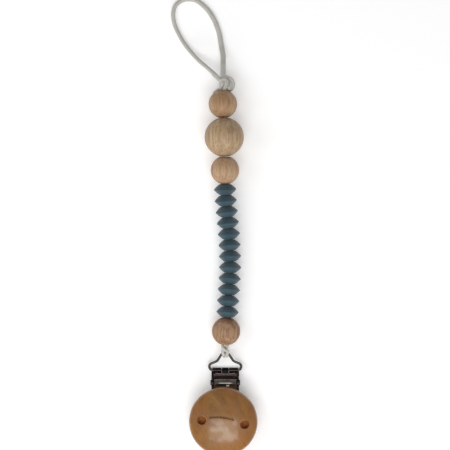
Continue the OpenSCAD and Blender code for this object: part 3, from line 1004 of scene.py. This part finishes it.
lever_width = (LEVER_MIDDLE - LEVER_HALF, LEVER_MIDDLE + LEVER_HALF)
lever_sheet = slab("lever_plate_sheet", lever_width, (LEVER_LOW.y, ROLL.y - ROLL_R * 0.72),
                   lever_top, LEVER_T)
round_end(lever_sheet, LEVER_HALF, LEVER_LOW.y + LEVER_HALF)
roll = pin_roll()
tab = slab("lever_plate_tab", (LEVER_MIDDLE + 0.4 * MM, LEVER_MIDDLE + 2.0 * MM),
           (ROLL.y - ROLL_R - 0.3 * MM, ROLL.y - ROLL_R * 0.55),
           lambda x, y: LEVER_HIGH.z - 0.35 * MM, 0.5 * MM, 4, 4)
lobe = slab("lever_plate_lobe", lever_width, (ROLL.y - LOBE_HALF, ROLL.y + LOBE_HALF),
            lambda x, y: ROLL.z - PIN_R, LOBE_DEPTH, 4, 4)
# painted reflection on the strip, painted highlight on the roll and the tab
lever_parts = [(lever_sheet, WOOD_REFLECTION_GUNMETAL), (roll, HIGHLIT_GUNMETAL), (tab, TAB_HIGHLIGHT_GUNMETAL), (lobe, GUNMETAL)]
for part, finish in lever_parts:
    place_piece(part, "lever", "lever_plate", finish)
print("lever rolled:", len(lever_parts), "parts")

# %% [markdown]
# ## Wooden face
#
# The face is a turned disc with a domed front and a full round edge. It is one outline
# spun round its middle. Two holes are drilled part of the way into it, and a fine
# generic arc is cut between them.

# %% Turn the face
FACE_LOW, FACE_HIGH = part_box("wooden_face")
FACE_R = (FACE_HIGH.x - FACE_LOW.x) / 2
FACE_T = FACE_HIGH.z - FACE_LOW.z
FACE_SEAT = (Matrix.Translation((0, FACE_CENTRE.y, FACE_LOW.z))
             @ Matrix.Rotation(math.radians(-5.5), 4, "Z"))
RIM = 2.6 * MM
# radius of the dome that meets the edge's rounding without a crease
DOME_R = (((FACE_R - RIM)**2 + (FACE_T - RIM)**2 - RIM**2) / (2 * (FACE_T - 2 * RIM)))


def face_outline(steps=44):
    """From the middle of the back, round the edge, to the middle of the front."""
    meet = math.degrees(math.atan2(DOME_R - FACE_T + RIM, FACE_R - RIM))
    back = [(0, 0), ((FACE_R - RIM) * 0.5, 0)]
    edge = arc((FACE_R - RIM, RIM), RIM, -90, meet, 26)
    front = arc((0, FACE_T - DOME_R), DOME_R, meet, 89.8, steps)[1:]
    return [*back, *edge, *front, (0, FACE_T)]


def face_height(r):
    """Height of the front of the face at a distance from its middle."""
    return FACE_T - DOME_R + math.sqrt(DOME_R**2 - r**2)


def turned_disc(name, outline, steps=160):
    """A closed solid of revolution round local Z from an outline that starts and ends on it."""
    mesh = bpy.data.meshes.new(name)
    build = bmesh.new()
    centre_low = build.verts.new((0, 0, outline[0][1]))
    centre_high = build.verts.new((0, 0, outline[-1][1]))
    rings = []
    for r, z in outline[1:-1]:
        rings.append([build.verts.new((r * math.cos(math.tau * k / steps),
                                       r * math.sin(math.tau * k / steps), z))
                      for k in range(steps)])
    for k in range(steps):
        m = (k + 1) % steps
        build.faces.new((centre_low, rings[0][m], rings[0][k]))
        build.faces.new((centre_high, rings[-1][k], rings[-1][m]))
        for a, b in zip(rings, rings[1:]):
            build.faces.new((a[k], a[m], b[m], b[k]))
    bmesh.ops.recalc_face_normals(build, faces=build.faces)
    build.to_mesh(mesh)
    build.free()
    return new_piece(name, mesh, 40)


def drill(piece, cutter, material):
    """Cuts one solid out of another for good, and paints the fresh surface."""
    wear(cutter, material)
    cut = piece.modifiers.new("cut", "BOOLEAN")
    cut.operation, cut.object, cut.solver = "DIFFERENCE", cutter, "EXACT"
    cut.material_mode = "TRANSFER"
    depsgraph = bpy.context.evaluated_depsgraph_get()
    piece.data = bpy.data.meshes.new_from_object(piece.evaluated_get(depsgraph))
    piece.modifiers.clear()
    bpy.data.objects.remove(cutter)


def hole_drill(at, radius, low_z, high_z, flare):
    """A drill with a small countersink at its upper end."""
    clear_z = high_z + 4 * MM
    outline = [(0, low_z), (radius, low_z), (radius, high_z - flare),
               (radius + flare, high_z), (radius + flare, clear_z), (0, clear_z)]
    piece = turned_disc("hole_drill", outline, 64)
    piece.matrix_world = Matrix.Translation(at)
    return piece


HOLE_OUT = 11 * MM
HOLE_R = 2.3 * MM
HOLE_FLOOR = 2 * MM
HOLE_FLARE = 0.3 * MM
HOLE_TOP = face_height(HOLE_OUT) + 0.1 * MM

face = wear(turned_disc("wooden_face_turned", face_outline()), oiled_wood())
for side in (-1, 1):
    cutter = hole_drill((side * HOLE_OUT, 0, 0), HOLE_R, HOLE_FLOOR, HOLE_TOP, HOLE_FLARE)
    drill(face, cutter, DRILLED)
print("face turned and drilled:", len(face.data.polygons), "faces")

# %% [markdown]
# The arc is a row of short cuts, each the width of a fine gouge, and their lengths vary
# a little as they would by hand.

# %% Cut the arc
ARC_R = 23.5 * MM
ARC_MIDDLE = Vector((-0.95, 2.75, 0)) * MM
ARC_HALF_SPAN = 15
CUTS = 17
CUT_LENGTHS = (1.1, 0.75, 0.95, 0.7, 0.9)
CUT_R = 0.25 * MM
LINE_R = 0.15 * MM
LINE_STEPS = 24


def on_arc(degrees, out):
    """A point on the face, at an angle along the arc and a distance out from it."""
    angle = math.radians(90 - degrees)
    spot = ARC_MIDDLE + Vector((math.cos(angle), math.sin(angle) - 1, 0)) * ARC_R
    spot += Vector((math.cos(angle), math.sin(angle), 0)) * out
    return Vector((spot.x, spot.y, face_height(spot.length) + 0.06 * MM))


for k in range(CUTS):
    degrees = -ARC_HALF_SPAN + 2 * ARC_HALF_SPAN * k / (CUTS - 1)
    reach = CUT_LENGTHS[k % len(CUT_LENGTHS)] * MM / 2
    ends = [on_arc(degrees, -reach), on_arc(degrees, reach)]
    drill(face, tube("gouge", ends, CUT_R, sides=8), SCORCHED)
arc_line = [on_arc(ARC_HALF_SPAN * (2 * k / LINE_STEPS - 1), -0.34 * MM)
            for k in range(LINE_STEPS + 1)]
drill(face, tube("gouge", arc_line, LINE_R, sides=8), SCORCHED)
settle(face, FACE_SEAT)
face.data.set_sharp_from_angle(angle=math.radians(40))
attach(face, "lever")
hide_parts("wooden_face")
print("face finished:", len(face.data.polygons), "faces")

# %% [markdown]
# ## Studio
#
# A pale floor, a broad window-like light above and in front of the clip, a softer light on
# the left that pushes a faint shadow to the right, a low one in front that catches the near
# flanks of the beads, and a pale sky for fill.

# %% Floor and lights
FLOOR_HALF = 3.0
SKY_STRENGTH = 0.31

floor_mesh = bpy.data.meshes.new("floor")
floor_corners = [(x * FLOOR_HALF, y * FLOOR_HALF, 0)
                 for x, y in ((-1, -1), (1, -1), (1, 1), (-1, 1))]
floor_mesh.from_pydata(floor_corners, [], [(0, 1, 2, 3)])
floor = bpy.data.objects.new("floor", floor_mesh)
bpy.context.scene.collection.objects.link(floor)
paper = Paint("floor_paper")
wear(floor, paper.finish(base_color=(0.93, 0.93, 0.93), roughness=0.9,
                         specular_ior_level=0.1, emission_color=(1.0, 1.0, 1.0),
                         emission_strength=0.2))


def area_light(name, at, aim, size, power, mirrored=True):
    """A soft light. Where it isn't mirrored, no glossy surface shows it."""
    data = bpy.data.lights.new(name, "AREA")
    data.shape, data.energy = "RECTANGLE", power
    data.size, data.size_y = size
    lamp = bpy.data.objects.new(name, data)
    lamp.location = at
    lamp.rotation_euler = (Vector(aim) - Vector(at)).to_track_quat("-Z", "Y").to_euler()
    lamp.visible_glossy = mirrored
    bpy.context.scene.collection.objects.link(lamp)


area_light("window", at=FACE_CENTRE + Vector((0, -0.39, 1.0)), aim=FACE_CENTRE,
           size=(0.97, 0.75), power=6.4)
area_light("left_soft", at=(-0.8, 0, 0.8), aim=(0, 0, 0), size=(0.6, 0.6), power=2.6,
           mirrored=False)
area_light("low_front", at=FACE_CENTRE + Vector((0, -0.85, 0.42)), aim=LOOK_AT,
           size=(0.6, 0.35), power=3.0, mirrored=False)

world = bpy.data.worlds.new("sky")
bpy.context.scene.world = world
world.use_nodes = True
sky = world.node_tree.nodes["Background"].inputs
sky["Color"].default_value = (1, 1, 1, 1)
sky["Strength"].default_value = SKY_STRENGTH
bpy.context.scene.view_settings.view_transform = "Standard"
print("studio lit")
